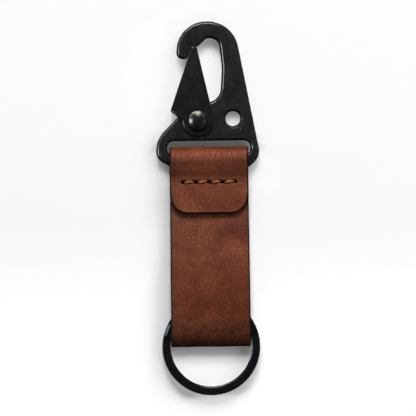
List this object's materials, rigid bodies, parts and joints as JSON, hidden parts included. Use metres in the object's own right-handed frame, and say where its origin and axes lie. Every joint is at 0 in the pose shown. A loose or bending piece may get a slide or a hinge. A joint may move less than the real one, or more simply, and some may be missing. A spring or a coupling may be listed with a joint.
{
  "type": "leather keychain with snap hook and key ring",
  "caption": "Folded leather strap key holder with a stamped steel snap hook at one end and a split key ring at the other.",
  "frame": {"origin": "middle of the strap's flat back face", "axes": "+Y along the strap towards the snap hook, +Z out of the front face with the flap and the rivet's domed head, +X to the right of a viewer who looks at the front with the hook at the top"},
  "size_m": [0.0323, 0.1173, 0.0082],
  "materials": {
    "leather": "oiled pull-up leather, reddish brown, darker at the folds, with burnished dark edges",
    "thread": "waxed tan thread",
    "hook_coating": "satin black coating with a fine speckle",
    "gate_coating": "satin black coating",
    "rivet_coating": "smooth semi-gloss black coating",
    "spring_steel": "bright spring wire",
    "ring_black": "glossy blue-black plating"
  },
  "bodies": {
    "strap": {"leather_strap": "leather", "stitch_thread": "thread"},
    "hook": {"hook_plate": "hook_coating", "gate_rivet": "rivet_coating", "gate_spring": "spring_steel"},
    "gate": {"gate_lever": "gate_coating"},
    "ring": {"key_ring": "ring_black"}
  },
  "joints": [
    {"name": "hook_swing", "type": "hinge", "parent": "strap", "child": "hook", "pos_m": [0, 0.02675, 0.00355], "axis": [1, 0, 0], "range_deg": [-60, 60], "deforming": ["leather_strap"]},
    {"name": "gate_pivot", "type": "hinge", "parent": "hook", "child": "gate", "pos_m": [-0.00313, 0.03967, 0.00355], "axis": [0, 0, -1], "range_deg": [0, 18], "stiffness_Nm_per_rad": 0.03, "springref_deg": -28.65, "deforming": ["gate_spring"]},
    {"name": "ring_spin", "type": "hinge", "parent": "strap", "child": "ring", "pos_m": [0, -0.03125, 0.00355], "axis": [0, 0, 1], "continuous": true}
  ]
}
